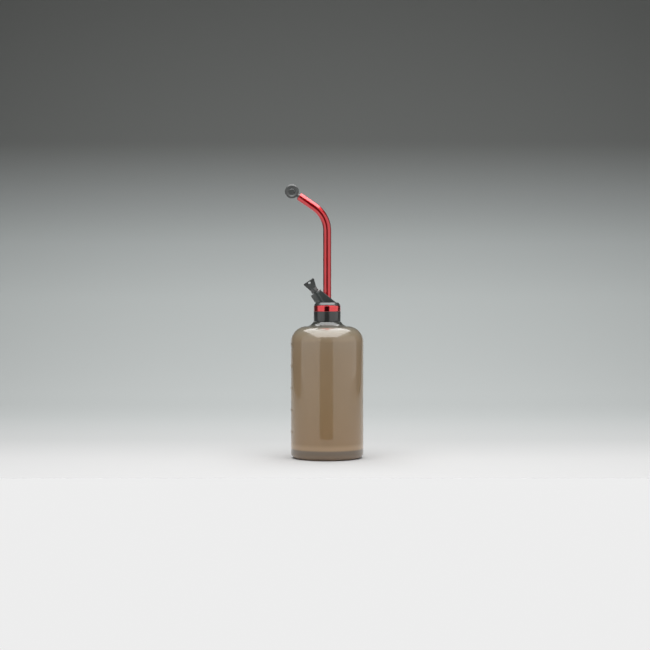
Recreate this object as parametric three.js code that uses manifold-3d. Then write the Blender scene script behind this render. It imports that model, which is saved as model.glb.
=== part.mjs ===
// Squeeze bottle for liquid fuel, with a screw cap, a bent metal spout and two stoppers.
// Units are millimetres and +Z is up. The origin is the middle of the resting face, on the bottle's axis.
// The spout and the filler boss point towards -X.

import * as THREE from 'three';
import { mergeVertices } from 'three/addons/utils/BufferGeometryUtils.js';
import Module from 'manifold-3d';

// Bottle body
const bodyRadius = 38.5;
const bodyWall = 1.2;
const baseThickness = 1.6;
const heelRadius = 5.5;
const shoulderStart = 123;
const shoulderRadius = 17;
const shoulderCrown = 0.4;
const neckFootRadius = 17.2;
const neckFootWall = 1.8;

// Bottle neck, each height counted from the piece below it
const ledgeRadius = 14.6;
const ledgeRise = 4.3;
const neckRootDrop = 1;
const neckWallRadius = 10.95;
const neckBoreRadius = 9.2;
const neckRise = 15.7;

// Screw thread between neck and cap
const threadLead = 3.175;
const threadHeight = 1.05;
const threadBaseWidth = 1.6;
const threadCrestWidth = 0.7;
const threadRoot = 0.3;
const threadTurns = 2;
const threadGap = 0.35;
const threadRise = 5.5;
const threadFade = 0.35;

// Graduation marks, raised on the side below the spout
const markCount = 5;
const markFirst = 28.1;
const markStep = 23.2;
const markTall = 2.4;
const markProud = 0.4;
const markHalfAngle = THREE.MathUtils.degToRad(16);

// Cap, its skirt standing just clear of the bottle's ledge
const capRadius = 14.3;
const seatGap = 0.3;
const ceilingThickness = 0.7;
const bandHeight = 6.2;
const bandGap = 0.1;
const bandEdge = 0.35;
const bandWall = 0.6;
const flangeHeight = 0.9;
const bevelHeight = 2.3;
const bevelWidth = 2.0;
const linerThickness = 1.2;

// Filler boss, a leaning spout moulded on the cap
const bossLean = THREE.MathUtils.degToRad(33);
const mouthRadius = 6.2;
const bossSunk = 1.3;
const gussetReach = 9.4;
const gussetHalfWidth = 5.9;
const gussetSunk = 0.4;
const mouthReach = 12.15;
const mouthRise = 10.5;
const fillerBoreRadius = 2.6;
const fillerBoreDepth = 8.5;
const pocketRadius = 1.8;
const pocketReach = 7.9;

// Spout tube
const tubeRadius = 4.3;
const tubeBoreRadius = 3.2;
const tubeSeatDepth = 0.8;
const tubeLowerLength = 92.6;
const tubeBendRadius = 31;
const tubeRise = THREE.MathUtils.degToRad(34.4);
const tubeUpperLength = 36;
const tubeSteps = 35;
const socketGap = 0.15;

// Sealing ring in its groove in the spout socket
const ringWire = 0.4;
const ringRise = 1.9;
const ringGap = 0.12;

// Filler plug
const plugCollarRadius = 4.0;
const plugCollarLength = 3;
const plugWaistRadius = 3.8;
const plugWaistLength = 2;
const tabLength = 9.3;
const tabTopWidth = 13.5;
const tabRoot = 0.6;
const tabThickness = 3.0;
const tabRim = 1.1;
const tabDish = 0.6;
const tabHoleLong = 3.0;
const tabHoleShort = 2.1;
const tabHoleInset = 2.0;
const plugStemLength = 6.5;
const plugStemGap = 0.15;
const stemTaper = 0.5;
const stemTaperLength = 0.9;

// Spout plug
const discRadius = 7.4;
const discThickness = 5.0;
const discDish = 0.7;
const discRim = 1.3;
const discCentre = 9.2;
const spoutPlugNeckRadius = 2.3;
const spoutPlugNeckRoot = 1.4;
const spoutPlugStemLength = 8;
const spoutPlugGap = 0.15;

// Facets
const bodySides = 40;
const neckSides = 32;
const tubeSides = 16;
const smallSides = 20;
const discSides = 28;
const heelSteps = 4;
const shoulderSteps = 8;
const filletSteps = 6;
const weldDistance = 1e-4;
const cutMargin = 1;

// Heights worked out from the sizes above
const shoulderPeak = shoulderStart + shoulderRadius;
const neckFootHeight = shoulderPeak + shoulderCrown;
const ledgeHeight = neckFootHeight + ledgeRise;
const neckTop = ledgeHeight + neckRise;
const threadStart = ledgeHeight + threadRise;
const skirtBottom = ledgeHeight + seatGap;
const ceilingBottom = neckTop + linerThickness + 2 * seatGap;
const ceilingTop = ceilingBottom + ceilingThickness;
const bandTop = ceilingTop - flangeHeight;
const skirtTop = bandTop - bandHeight;
const shoulderTop = ceilingTop + bevelHeight;
const tubeBottom = shoulderTop - tubeSeatDepth;
const tubeCornerZ = tubeBottom + tubeLowerLength;
const ringCentreZ = tubeBottom + ringRise;

// Radii worked out from the sizes above
const flangeRadius = capRadius - bandWall - bandGap;
const bevelRadius = flangeRadius - bevelWidth;
const capBoreRadius = neckWallRadius + threadHeight + threadGap;
const ringOuter = tubeRadius + 2 * ringWire + ringGap;

// Materials
const smokedPlastic = new THREE.MeshStandardMaterial({
  name: 'smoked_plastic',
  color: 0x96816e,
  roughness: 0.35,
  metalness: 0,
  transparent: true,
  opacity: 0.85,
});
const capPlastic = new THREE.MeshStandardMaterial({ name: 'cap_plastic', color: 0x4b4d4e, roughness: 0.45 });
const bandMetal = new THREE.MeshStandardMaterial({ name: 'band_metal', color: 0xb01020, roughness: 0.2, metalness: 1 });
const tubeMetal = new THREE.MeshStandardMaterial({ name: 'tube_metal', color: 0xb81422, roughness: 0.18, metalness: 1 });
const linerFoam = new THREE.MeshStandardMaterial({ name: 'liner_foam', color: 0xd8d6cf, roughness: 0.8 });
const sealRubber = new THREE.MeshStandardMaterial({ name: 'seal_rubber', color: 0x1b1b1c, roughness: 0.7 });
const plugRubber = new THREE.MeshStandardMaterial({ name: 'plug_rubber', color: 0x515354, roughness: 0.6 });

// Solids are joined and cut here; each takes and gives a closed geometry
const wasm = await Module();
wasm.setup();

function toSolid(geometry) {
  const bare = geometry.clone();
  bare.deleteAttribute('normal');
  bare.deleteAttribute('uv');
  const merged = mergeVertices(bare, weldDistance);
  const corners = merged.index.array;
  const kept = [];
  for (let i = 0; i < corners.length; i += 3) {
    const [a, b, c] = [corners[i], corners[i + 1], corners[i + 2]];
    if (a !== b && b !== c && c !== a) {
      kept.push(a, b, c);
    }
  }
  const vertProperties = new Float32Array(merged.attributes.position.array);
  const triVerts = new Uint32Array(kept);
  return new wasm.Manifold(new wasm.Mesh({ numProp: 3, vertProperties, triVerts }));
}

function toGeometry(solid) {
  const mesh = solid.getMesh();
  const geometry = new THREE.BufferGeometry();
  geometry.setAttribute('position', new THREE.BufferAttribute(new Float32Array(mesh.vertProperties), 3));
  geometry.setIndex(new THREE.BufferAttribute(new Uint32Array(mesh.triVerts), 1));
  geometry.computeVertexNormals();
  return geometry;
}

// A ring of points, given as [radius, height], turned about the Z axis
function turned(points, sides) {
  const profile = points.map(([radius, height]) => new THREE.Vector2(radius, height));
  const geometry = new THREE.LatheGeometry(profile, sides);
  geometry.rotateX(Math.PI / 2);
  return geometry;
}

// The points of an arc, from one angle to another, in the radius and height plane
function arcPoints(centreRadius, centreHeight, radius, from, to, steps) {
  const points = [];
  for (let i = 0; i <= steps; i += 1) {
    const angle = THREE.MathUtils.degToRad(from + ((to - from) * i) / steps);
    points.push([centreRadius + radius * Math.cos(angle), centreHeight + radius * Math.sin(angle)]);
  }
  return points;
}

// A solid rod along Z, from one height to another
function rod(radius, from, to, sides) {
  return turned([[0, from], [radius, from], [radius, to], [0, to]], sides);
}

// A helical ridge: a straight strip bent round the Z axis, thinned out at both ends.
// The sign says whether it stands out from its wall or in towards the axis.
function threadRidge(wallRadius, sign, start, turns) {
  const half = threadBaseWidth / 2;
  const crest = threadCrestWidth / 2;
  const section = new THREE.Shape();
  section.moveTo(-threadRoot, -half);
  section.lineTo(0, -half);
  section.lineTo(threadHeight, -crest);
  section.lineTo(threadHeight, crest);
  section.lineTo(0, half);
  section.lineTo(-threadRoot, half);
  const sweep = turns * 2 * Math.PI;
  const steps = Math.round(turns * neckSides);
  const strip = new THREE.ExtrudeGeometry(section, { depth: sweep, steps, bevelEnabled: false });
  const position = strip.attributes.position;
  for (let i = 0; i < position.count; i += 1) {
    const angle = position.getZ(i);
    const nearEnd = Math.min(angle, sweep - angle);
    const full = THREE.MathUtils.smoothstep(nearEnd, -threadFade, threadFade * 2);
    const out = position.getX(i) > 0 ? position.getX(i) * full : position.getX(i);
    const radius = wallRadius + sign * out;
    const height = start + (threadLead * angle) / (2 * Math.PI) + position.getY(i);
    position.setXYZ(i, radius * Math.cos(angle), radius * Math.sin(angle), height);
  }
  if (sign > 0) {
    flipFaces(strip);
  }
  return strip;
}

// Turn every face of an unindexed geometry over
function flipFaces(geometry) {
  const position = geometry.attributes.position;
  const a = new THREE.Vector3();
  const b = new THREE.Vector3();
  for (let i = 0; i < position.count; i += 3) {
    a.fromBufferAttribute(position, i + 1);
    b.fromBufferAttribute(position, i + 2);
    position.setXYZ(i + 1, b.x, b.y, b.z);
    position.setXYZ(i + 2, a.x, a.y, a.z);
  }
}

// The bottle is one blown shell with an open, threaded neck
function makeBottle() {
  const shoulderCentre = bodyRadius - shoulderRadius;
  const innerShoulder = shoulderRadius - bodyWall;
  const innerHeel = heelRadius - bodyWall;
  const fillet = new THREE.QuadraticBezierCurve(
    new THREE.Vector2(shoulderCentre, shoulderPeak),
    new THREE.Vector2(neckFootRadius, neckFootHeight),
    new THREE.Vector2(ledgeRadius, ledgeHeight),
  );
  const outside = [
    [0, 0],
    [bodyRadius - heelRadius, 0],
    ...arcPoints(bodyRadius - heelRadius, heelRadius, heelRadius, -90, 0, heelSteps).slice(1),
    ...arcPoints(shoulderCentre, shoulderStart, shoulderRadius, 0, 90, shoulderSteps),
    ...fillet.getPoints(filletSteps).slice(1).map((point) => [point.x, point.y]),
    [neckWallRadius, ledgeHeight],
    [neckWallRadius, neckTop],
  ];
  const inside = [
    [neckBoreRadius, neckTop],
    [neckBoreRadius, ledgeHeight - neckRootDrop],
    [neckFootRadius - neckFootWall, neckFootHeight - neckFootWall],
    ...arcPoints(shoulderCentre, shoulderStart, innerShoulder, 90, 0, shoulderSteps),
    ...arcPoints(bodyRadius - heelRadius, baseThickness + innerHeel, innerHeel, 0, -90, heelSteps),
    [0, baseThickness],
  ];
  let solid = toSolid(turned([...outside, ...inside], bodySides));
  solid = solid.add(toSolid(threadRidge(neckWallRadius, 1, threadStart, threadTurns)));
  for (let i = 0; i < markCount; i += 1) {
    solid = solid.add(toSolid(makeMark(markFirst + i * markStep)));
  }
  return toGeometry(solid);
}

// One raised graduation mark, an arc on the bottle's side
function makeMark(height) {
  const outer = bodyRadius + markProud;
  const inner = bodyRadius - bodyWall / 2;
  const shape = new THREE.Shape();
  shape.absarc(0, 0, outer, Math.PI - markHalfAngle, Math.PI + markHalfAngle, false);
  shape.absarc(0, 0, inner, Math.PI + markHalfAngle, Math.PI - markHalfAngle, true);
  const geometry = new THREE.ExtrudeGeometry(shape, { depth: markTall, bevelEnabled: false, curveSegments: 2 });
  geometry.translate(0, 0, height - markTall / 2);
  return geometry;
}

// The leaning boss: its axis, out of the mouth, and the mouth's own frame
const bossOut = new THREE.Vector3(-Math.sin(bossLean), 0, Math.cos(bossLean));
const mouth = new THREE.Vector3(-mouthReach, 0, shoulderTop + mouthRise);
const bossTurn = new THREE.Quaternion().setFromUnitVectors(new THREE.Vector3(0, 0, 1), bossOut);
const bossFrame = new THREE.Matrix4().compose(mouth, bossTurn, new THREE.Vector3(1, 1, 1));

// The boss: a leaning round post with a level foot, and a flat-sided gusset that slopes off behind it
function makeBoss() {
  const foot = [];
  const rim = [];
  const footHeight = shoulderTop - bossSunk;
  const footMiddle = mouth.x + (mouth.z - footHeight) * Math.tan(bossLean);
  for (let i = 0; i < neckSides; i += 1) {
    const angle = (i / neckSides) * 2 * Math.PI;
    const across = mouthRadius * Math.cos(angle);
    const along = mouthRadius * Math.sin(angle);
    foot.push(new THREE.Vector3(footMiddle + across / Math.cos(bossLean), along, footHeight));
    rim.push(new THREE.Vector3(across, along, 0).applyMatrix4(bossFrame));
  }
  const brow = new THREE.Vector3(mouthRadius - gussetSunk, 0, -gussetSunk).applyMatrix4(bossFrame);
  const side = new THREE.Shape();
  side.moveTo(footMiddle, footHeight);
  side.lineTo(gussetReach, footHeight);
  side.lineTo(gussetReach, shoulderTop);
  side.lineTo(brow.x, brow.z);
  side.lineTo(mouth.x, mouth.z - mouthRadius);
  const gusset = new THREE.ExtrudeGeometry(side, { depth: gussetHalfWidth * 2, bevelEnabled: false });
  gusset.translate(0, 0, -gussetHalfWidth);
  gusset.rotateX(Math.PI / 2);
  return toSolid(loft([foot, rim])).add(toSolid(gusset));
}

// A closed solid through rings of points that run the same way round
function loft(rings) {
  const count = rings[0].length;
  const middle = (ring) => ring.reduce((sum, point) => sum.add(point), new THREE.Vector3()).divideScalar(count);
  const bottom = middle(rings[0]);
  const top = middle(rings[rings.length - 1]);
  const corners = [];
  for (let i = 0; i < count; i += 1) {
    const next = (i + 1) % count;
    corners.push(bottom, rings[0][next], rings[0][i]);
    for (let level = 0; level + 1 < rings.length; level += 1) {
      const low = rings[level];
      const high = rings[level + 1];
      corners.push(low[i], low[next], high[next]);
      corners.push(low[i], high[next], high[i]);
    }
    corners.push(top, rings[rings.length - 1][i], rings[rings.length - 1][next]);
  }
  return new THREE.BufferGeometry().setFromPoints(corners);
}

// The screw cap: threaded skirt, seat for the band, flange, boss, spout socket and filler bore
function makeCap() {
  let solid = toSolid(turned([
    [0, skirtBottom],
    [capRadius, skirtBottom],
    [capRadius, skirtTop],
    [flangeRadius, skirtTop],
    [flangeRadius, ceilingTop],
    [bevelRadius, shoulderTop],
    [0, shoulderTop],
  ], neckSides));
  solid = solid.add(makeBoss());
  solid = solid.subtract(toSolid(rod(capBoreRadius, skirtBottom - cutMargin, ceilingBottom, neckSides)));
  const internalThread = threadRidge(capBoreRadius, -1, threadStart + threadLead / 2, threadTurns);
  solid = solid.add(toSolid(internalThread));
  const fillerBore = rod(fillerBoreRadius, -fillerBoreDepth, cutMargin, smallSides);
  fillerBore.applyMatrix4(bossFrame);
  solid = solid.subtract(toSolid(fillerBore));
  const boreFoot = mouth.z - fillerBoreDepth * bossOut.z;
  const pocket = rod(pocketRadius, ceilingBottom - cutMargin, boreFoot + fillerBoreRadius / 2, smallSides);
  pocket.translate(-pocketReach, 0, 0);
  solid = solid.subtract(toSolid(pocket));
  const socket = rod(tubeRadius + socketGap, tubeBottom - seatGap, tubeCornerZ, smallSides);
  solid = solid.subtract(toSolid(socket));
  const grooveHalf = ringWire + ringGap;
  const groove = rod(ringOuter + ringGap, ringCentreZ - grooveHalf, ringCentreZ + grooveHalf, smallSides);
  solid = solid.subtract(toSolid(groove));
  const passage = rod(tubeBoreRadius, ceilingBottom - cutMargin, tubeBottom, smallSides);
  solid = solid.subtract(toSolid(passage));
  return toGeometry(solid);
}

// The metal band round the cap, resting on the skirt's step
function makeBand() {
  const inner = flangeRadius + bandGap;
  const low = skirtTop;
  const high = bandTop - bandGap;
  return toGeometry(toSolid(turned([
    [inner, low],
    [capRadius - bandEdge, low],
    [capRadius, low + bandEdge],
    [capRadius, high - bandEdge],
    [capRadius - bandEdge, high],
    [inner, high],
    [inner, low],
  ], neckSides)));
}

// The sealing washer between the neck's rim and the cap's ceiling
function makeLiner() {
  const low = neckTop + seatGap;
  const high = low + linerThickness;
  const outer = capBoreRadius - threadHeight - seatGap;
  return toGeometry(toSolid(turned([
    [neckBoreRadius, low],
    [outer, low],
    [outer, high],
    [neckBoreRadius, high],
    [neckBoreRadius, low],
  ], neckSides)));
}

// The spout's centre line: straight up, one bend, then the upper leg
const tubeTurn = Math.PI / 2 - tubeRise;
const bendTangent = tubeBendRadius * Math.tan(tubeTurn / 2);
const upperOut = new THREE.Vector3(-Math.cos(tubeRise), 0, Math.sin(tubeRise));
const corner = new THREE.Vector3(0, 0, tubeCornerZ);
const tubeEnd = corner.clone().addScaledVector(upperOut, tubeUpperLength);

class BendArc extends THREE.Curve {
  getPoint(t, target = new THREE.Vector3()) {
    const angle = t * tubeTurn;
    const reach = tubeBendRadius * (Math.cos(angle) - 1);
    return target.set(reach, 0, tubeCornerZ - bendTangent + tubeBendRadius * Math.sin(angle));
  }
}

function makeSpoutTube() {
  const path = new THREE.CurvePath();
  const bendStart = new THREE.Vector3(0, 0, tubeCornerZ - bendTangent);
  const bendEnd = corner.clone().addScaledVector(upperOut, bendTangent);
  path.add(new THREE.LineCurve3(new THREE.Vector3(0, 0, tubeBottom), bendStart));
  path.add(new BendArc());
  path.add(new THREE.LineCurve3(bendEnd, tubeEnd));
  const section = new THREE.Shape();
  section.absarc(0, 0, tubeRadius, 0, 2 * Math.PI, false);
  const bore = new THREE.Path();
  bore.absarc(0, 0, tubeBoreRadius, 0, 2 * Math.PI, true);
  section.holes.push(bore);
  const options = { steps: tubeSteps, curveSegments: tubeSides / 2, bevelEnabled: false, extrudePath: path };
  return toGeometry(toSolid(new THREE.ExtrudeGeometry(section, options)));
}

// The sealing ring round the foot of the spout tube
function makeSpoutRing() {
  const circle = arcPoints(tubeRadius + ringGap + ringWire, ringCentreZ, ringWire, -180, 180, 8);
  circle[circle.length - 1] = circle[0];
  return toGeometry(toSolid(turned(circle, smallSides)));
}

// The filler plug, built upright: stem, collar, waist and a finger tab with an eye
function makeFillerPlug() {
  const waistTop = plugCollarLength + plugWaistLength;
  const tabTop = waistTop + tabLength;
  const stemRadius = fillerBoreRadius - plugStemGap;
  let solid = toSolid(turned([
    [0, -plugStemLength],
    [stemRadius - stemTaper, -plugStemLength],
    [stemRadius, -plugStemLength + stemTaperLength],
    [stemRadius, seatGap],
    [plugCollarRadius, seatGap],
    [plugCollarRadius, plugCollarLength],
    [plugWaistRadius, plugCollarLength],
    [plugWaistRadius, waistTop],
    [0, waistTop],
  ], smallSides));
  solid = solid.add(toSolid(tabPlate(0, waistTop - tabRoot, tabTop, tabThickness, 0)));
  for (const side of [-1, 1]) {
    const dish = tabPlate(tabRim, waistTop + tabRim, tabTop - tabRim, tabDish * 2, (side * tabThickness) / 2);
    solid = solid.subtract(toSolid(dish));
  }
  const eye = new THREE.Shape();
  eye.absellipse(0, tabTop - tabHoleInset, tabHoleLong / 2, tabHoleShort / 2, 0, 2 * Math.PI, false, 0);
  const eyeCut = new THREE.ExtrudeGeometry(eye, { depth: tabThickness * 2, bevelEnabled: false, curveSegments: 6 });
  eyeCut.translate(0, 0, -tabThickness);
  eyeCut.rotateX(Math.PI / 2);
  solid = solid.subtract(toSolid(eyeCut));
  return toGeometry(solid);
}

// A flat plate that widens upwards like the plug's tab, drawn in by an inset on each edge
function tabPlate(inset, low, high, thickness, middle) {
  const waistTop = plugCollarLength + plugWaistLength;
  const growth = (tabTopWidth / 2 - plugWaistRadius) / tabLength;
  const halfAt = (height) => plugWaistRadius + growth * (height - waistTop) - inset;
  const shape = new THREE.Shape();
  shape.moveTo(-halfAt(low), low);
  shape.lineTo(halfAt(low), low);
  shape.lineTo(halfAt(high), high);
  shape.lineTo(-halfAt(high), high);
  const plate = new THREE.ExtrudeGeometry(shape, { depth: thickness, bevelEnabled: false });
  plate.translate(0, 0, -thickness / 2);
  plate.rotateX(Math.PI / 2);
  plate.translate(0, middle, 0);
  return plate;
}

// The spout plug, built upright: a stem for the bore, a short neck and a round finger disc
function makeSpoutPlug() {
  const half = discThickness / 2;
  const disc = turned([
    [0, -half + discDish],
    [discRadius - 2 * discRim, -half + discDish],
    [discRadius - discRim, -half],
    [discRadius - discRim / 3, -half + discRim / 3],
    [discRadius, -half + discRim],
    [discRadius, half - discRim],
    [discRadius - discRim / 3, half - discRim / 3],
    [discRadius - discRim, half],
    [discRadius - 2 * discRim, half - discDish],
    [0, half - discDish],
  ], discSides);
  disc.rotateX(Math.PI / 2);
  disc.translate(0, 0, discCentre);
  const stemRadius = tubeBoreRadius - spoutPlugGap;
  const neckEnd = discCentre - discRadius + spoutPlugNeckRoot;
  const stem = turned([
    [0, -spoutPlugStemLength],
    [stemRadius - stemTaper, -spoutPlugStemLength],
    [stemRadius, -spoutPlugStemLength + stemTaperLength],
    [stemRadius, seatGap],
    [spoutPlugNeckRadius, seatGap],
    [spoutPlugNeckRadius, neckEnd],
    [0, neckEnd],
  ], smallSides);
  return toGeometry(toSolid(disc).add(toSolid(stem)));
}

function piece(name, geometry, material) {
  const mesh = new THREE.Mesh(geometry, material);
  mesh.name = name;
  return mesh;
}

const fillerBottle = new THREE.Group();
fillerBottle.add(piece('bottle', makeBottle(), smokedPlastic));

const closure = new THREE.Group();
closure.add(piece('cap', makeCap(), capPlastic));
closure.add(piece('cap_band', makeBand(), bandMetal));
closure.add(piece('cap_liner', makeLiner(), linerFoam));
closure.add(piece('spout_tube', makeSpoutTube(), tubeMetal));
closure.add(piece('spout_o_ring', makeSpoutRing(), sealRubber));

const fillerPlug = piece('filler_plug', makeFillerPlug(), plugRubber);
fillerPlug.position.copy(mouth);
fillerPlug.quaternion.copy(bossTurn);
closure.add(fillerPlug);

const spoutPlug = piece('spout_plug', makeSpoutPlug(), plugRubber);
spoutPlug.position.copy(tubeEnd);
spoutPlug.quaternion.setFromUnitVectors(new THREE.Vector3(0, 0, 1), upperOut);
closure.add(spoutPlug);
fillerBottle.add(closure);

export default fillerBottle;
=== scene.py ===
import logging
import math
from dataclasses import dataclass, field
from enum import Enum
from typing import Sequence

import bmesh
import bpy
from bpy.types import Material, Node, NodeSocket, Object
from mathutils import Matrix, Vector


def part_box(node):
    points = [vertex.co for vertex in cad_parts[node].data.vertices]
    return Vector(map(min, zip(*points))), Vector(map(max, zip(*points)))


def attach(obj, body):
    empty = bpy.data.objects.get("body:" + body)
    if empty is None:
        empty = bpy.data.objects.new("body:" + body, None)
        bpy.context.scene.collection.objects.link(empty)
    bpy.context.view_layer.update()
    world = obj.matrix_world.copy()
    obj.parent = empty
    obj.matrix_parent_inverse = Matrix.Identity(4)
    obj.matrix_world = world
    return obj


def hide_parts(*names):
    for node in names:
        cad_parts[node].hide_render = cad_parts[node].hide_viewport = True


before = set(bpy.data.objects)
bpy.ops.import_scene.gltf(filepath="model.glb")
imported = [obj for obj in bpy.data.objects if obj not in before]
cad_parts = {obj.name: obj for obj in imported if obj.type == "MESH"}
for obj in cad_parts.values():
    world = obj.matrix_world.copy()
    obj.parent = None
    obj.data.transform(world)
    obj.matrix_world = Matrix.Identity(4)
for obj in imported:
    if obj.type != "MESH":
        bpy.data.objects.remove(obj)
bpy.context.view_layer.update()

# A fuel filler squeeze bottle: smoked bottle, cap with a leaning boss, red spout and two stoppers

MM = 0.001
WELD = 2e-6
SLIVER = 1e-6
SHARP_ANGLE = math.radians(38)
BEVEL_SEGMENTS = 3
SHAFT_SIDES = 64
CLOUD_DETAIL = 3
GRAIN_DETAIL = 4
GRAIN_ROUGHNESS = 0.6

logging.basicConfig(level=logging.INFO, format="%(name)s: %(message)s")
log = logging.getLogger("filler_bottle")

Point = tuple[float, float]
Corner = tuple[float, float, float]
Tone = tuple[float, float, float]
Stops = Sequence[tuple[float, Tone]]
Feeds = dict[int | str, object]


class Join(Enum):
    """How one solid is worked into another."""

    ADD = "UNION"
    CUT = "DIFFERENCE"


# Mesh making


def rounded(corners: Sequence[Corner], steps: int = 4) -> list[Point]:
    """Rounds the corners of an outline.

    Args:
        corners: radius, height and rounding of each corner, in millimetres.
        steps: how many pieces each rounding has.

    Returns:
        The outline's points, with an arc in place of each rounded corner.
    """
    points: list[Point] = []
    for index, (x, y, blend) in enumerate(corners):
        if blend <= 0 or index in (0, len(corners) - 1):
            points.append((x, y))
            continue
        here = Vector((x, y))
        before = (Vector(corners[index - 1][:2]) - here).normalized()
        after = (Vector(corners[index + 1][:2]) - here).normalized()
        half = before.angle(after) / 2
        reach = blend / math.tan(half)
        start, end = here + before * reach, here + after * reach
        centre = here + (before + after).normalized() * (blend / math.sin(half))
        for step in range(steps + 1):
            chord = start.lerp(end, step / steps) - centre
            spot = centre + chord.normalized() * blend
            points.append((spot.x, spot.y))
    return points


def arc(centre: Point, radius: float, start: float, end: float, steps: int) -> list[Point]:
    """Gives the points of an arc.

    Args:
        centre: the arc's middle.
        radius: its radius.
        start: the first angle, in degrees.
        end: the last angle, in degrees.
        steps: how many pieces it has.

    Returns:
        The points, first to last.
    """
    angles = (math.radians(start + (end - start) * i / steps) for i in range(steps + 1))
    return [(centre[0] + radius * math.cos(a), centre[1] + radius * math.sin(a)) for a in angles]


def linked(name: str, data: bpy.types.ID) -> Object:
    """Makes an object from its data, and links it to the scene.

    Args:
        name: the object's name.
        data: its mesh, lamp or camera.

    Returns:
        The linked object.
    """
    obj = bpy.data.objects.new(name, data)
    bpy.context.scene.collection.objects.link(obj)
    return obj


def plain_object(name: str, vertices: Sequence[Corner], faces: Sequence[Sequence[int]]) -> Object:
    """Makes an object from vertices in metres.

    Args:
        name: the object's name.
        vertices: its points, in metres.
        faces: point numbers of each face.

    Returns:
        The linked object, at the origin.
    """
    mesh = bpy.data.meshes.new(name)
    mesh.from_pydata(vertices, [], faces)
    return linked(name, mesh)


def mesh_object(name: str, vertices: Sequence[Vector], faces: Sequence[Sequence[int]]) -> Object:
    """Makes a clean object from vertices in millimetres.

    Args:
        name: the object's name.
        vertices: its points, in millimetres.
        faces: point numbers of each face.

    Returns:
        The linked object, at the origin, with doubles merged and faces pointing out.
    """
    obj = plain_object(name, [v * MM for v in vertices], faces)
    tidy(obj)
    return obj


def tidy(obj: Object) -> None:
    """Merges doubles, drops slivers, turns faces outwards and shades the mesh.

    Args:
        obj: the object whose mesh is tidied.
    """
    work = bmesh.new()
    work.from_mesh(obj.data)
    bmesh.ops.remove_doubles(work, verts=work.verts, dist=WELD)
    bmesh.ops.dissolve_degenerate(work, edges=work.edges, dist=SLIVER)
    bmesh.ops.recalc_face_normals(work, faces=work.faces)
    work.to_mesh(obj.data)
    work.free()
    obj.data.shade_smooth()
    obj.data.set_sharp_from_angle(angle=SHARP_ANGLE)


def turned(
    name: str, outline: Sequence[Point], sides: int, place: Matrix | None = None,
) -> Object:
    """Turns an outline about the Z axis.

    Args:
        name: the object's name.
        outline: radius and height of each point, in millimetres, from axis to axis or closed.
        sides: how many sides the turned solid has.
        place: where the solid goes, in millimetres.

    Returns:
        The turned object.
    """
    closes = outline[0] == outline[-1]
    count = len(outline) - 1 if closes else len(outline)
    vertices = [
        Vector((radius * math.cos(angle), radius * math.sin(angle), height))
        for angle in (2 * math.pi * side / sides for side in range(sides))
        for radius, height in outline[:count]
    ]
    faces = []
    for side in range(sides):
        low, high = side * count, (side + 1) % sides * count
        for i in range(count if closes else count - 1):
            j = (i + 1) % count
            faces.append((low + i, high + i, high + j, low + j))
    if place is not None:
        vertices = [place @ v for v in vertices]
    return mesh_object(name, vertices, faces)


def lofted(name: str, rings: Sequence[Sequence[Vector]], closes: bool = False) -> Object:
    """Skins a row of rings.

    Args:
        name: the object's name.
        rings: rings of the same number of points, in millimetres.
        closes: whether the last ring meets the first; otherwise both ends are capped.

    Returns:
        The closed object.
    """
    count, levels = len(rings[0]), len(rings)
    vertices = [point for ring in rings for point in ring]
    faces: list[Sequence[int]] = [] if closes else [tuple(range(count))]
    for level in range(levels if closes else levels - 1):
        low, high = level * count, (level + 1) % levels * count
        for i in range(count):
            j = (i + 1) % count
            faces.append((low + i, low + j, high + j, high + i))
    if not closes:
        faces.append(tuple(range((levels - 1) * count, levels * count)))
    return mesh_object(name, vertices, faces)


def ring_of(radius: float, sides: int, place: Matrix) -> list[Vector]:
    """Gives a circle's points, in millimetres, moved by a matrix."""
    angles = (2 * math.pi * i / sides for i in range(sides))
    return [place @ Vector((radius * math.cos(a), radius * math.sin(a), 0)) for a in angles]


def lip_rings(
    radius: float, lip: float, steps: int, sides: int, place: Matrix,
) -> list[list[Vector]]:
    """Gives the rings of a rod's rounded end, from its wall in to its end face.

    Args:
        radius: the rod's radius.
        lip: radius of the rounding.
        steps: how many pieces the rounding has.
        sides: how many sides the rod has.
        place: the frame of the end face.

    Returns:
        The rings.
    """
    rings = []
    for step in range(steps + 1):
        angle = math.pi / 2 * step / steps
        rise = Matrix.Translation((0, 0, lip * (math.sin(angle) - 1)))
        rings.append(ring_of(radius - lip * (1 - math.cos(angle)), sides, place @ rise))
    return rings


def worked(target: Object, tool: Object, how: Join) -> None:
    """Joins a tool solid to a target, or cuts it out, and removes the tool.

    Args:
        target: the solid that is changed.
        tool: the solid that is added or cut out.
        how: which of the two is done.
    """
    modifier = target.modifiers.new("work", "BOOLEAN")
    modifier.operation = how.value
    modifier.solver = "EXACT"
    modifier.object = tool
    bake_modifiers(target)
    bpy.data.objects.remove(tool, do_unlink=True)
    tidy(target)


def moved(obj: Object, place: Matrix) -> None:
    """Moves an object's mesh by a matrix in millimetres."""
    obj.data.transform(Matrix.Scale(MM, 4) @ place @ Matrix.Scale(1 / MM, 4))


def extent(node: str) -> tuple[Vector, Vector]:
    """Gives the low and the high corner of a CAD node, in millimetres."""
    low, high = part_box(node)
    return Vector(low) / MM, Vector(high) / MM


def bake_modifiers(obj: Object) -> None:
    """Turns an object's live modifiers into plain mesh, and removes them.

    Args:
        obj: the object.
    """
    graph = bpy.context.evaluated_depsgraph_get()
    result = bpy.data.meshes.new_from_object(obj.evaluated_get(graph))
    obj.modifiers.clear()
    obj.data = result


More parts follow.
